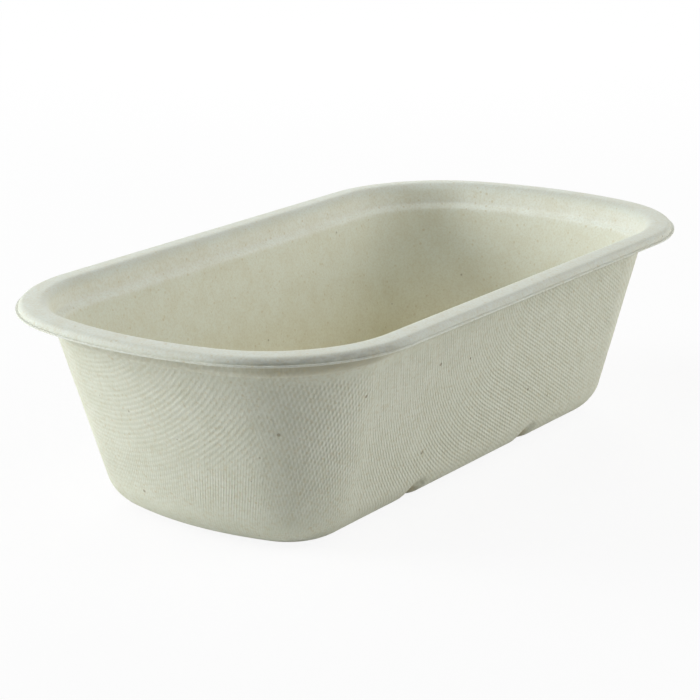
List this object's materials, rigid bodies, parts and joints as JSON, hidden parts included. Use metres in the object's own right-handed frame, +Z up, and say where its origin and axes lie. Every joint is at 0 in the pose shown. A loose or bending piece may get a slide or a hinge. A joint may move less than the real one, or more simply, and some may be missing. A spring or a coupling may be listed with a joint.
{
  "type": "disposable pulp bowl",
  "caption": "Rectangular moulded-pulp bowl with large corner radii, sloping walls, a rolled lip over a stacking ledge, a rounded foot and vent grooves across it.",
  "frame": {"origin": "middle of the footprint, on the surface that the bowl stands on", "axes": "+X along the bowl's length, +Y across it, +Z up through the mouth"},
  "size_m": [0.226, 0.1248, 0.0626],
  "materials": {
    "pulp": "matt moulded fibre"
  },
  "bodies": {
    "root": {"bowl_shell": "pulp"}
  },
  "joints": []
}
